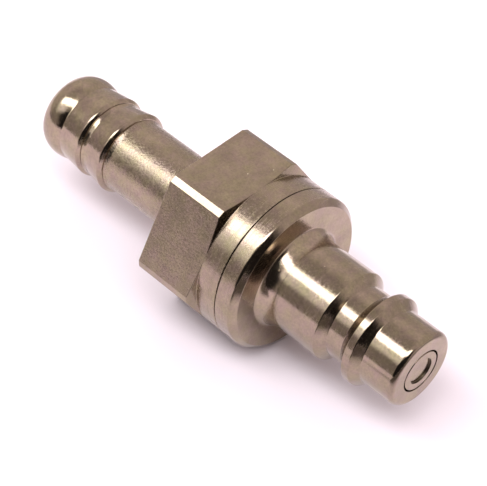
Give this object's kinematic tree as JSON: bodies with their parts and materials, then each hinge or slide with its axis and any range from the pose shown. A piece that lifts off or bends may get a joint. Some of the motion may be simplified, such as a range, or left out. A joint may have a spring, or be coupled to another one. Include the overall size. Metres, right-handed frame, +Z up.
{
  "type": "quick-release hose coupling plug",
  "caption": "Nickel-plated quick-release plug with a barbed hose tail, a spanner hexagon, a collar, a grooved locking nose and a self-closing valve.",
  "frame": {"origin": "on the common axis, half way along the overall length", "axes": "+X along the axis from the hose tail to the nose, +Z up with one flat of the hexagon facing -Z"},
  "size_m": [0.0494, 0.0192, 0.017],
  "materials": {
    "nickel_tail": "nickel plated, satin",
    "nickel_body": "nickel plated, polished",
    "nickel_valve": "nickel plated, polished",
    "seal_rubber": "matt black",
    "spring_steel": "drawn wire"
  },
  "bodies": {
    "shell": {"hose_tail": "nickel_tail", "plug_body": "nickel_body", "joint_seal": "seal_rubber", "valve_guide": "nickel_valve", "guide_circlip": "spring_steel", "valve_spring": "spring_steel"},
    "valve": {"valve_poppet": "nickel_valve", "poppet_seal": "seal_rubber"}
  },
  "joints": [
    {"name": "valve_slide", "type": "slide", "parent": "shell", "child": "valve", "axis": [-1, 0, 0], "range_m": [0, 0.0025], "stiffness_N_per_m": 900, "springref_m": -0.002, "deforming": ["valve_spring"]}
  ]
}
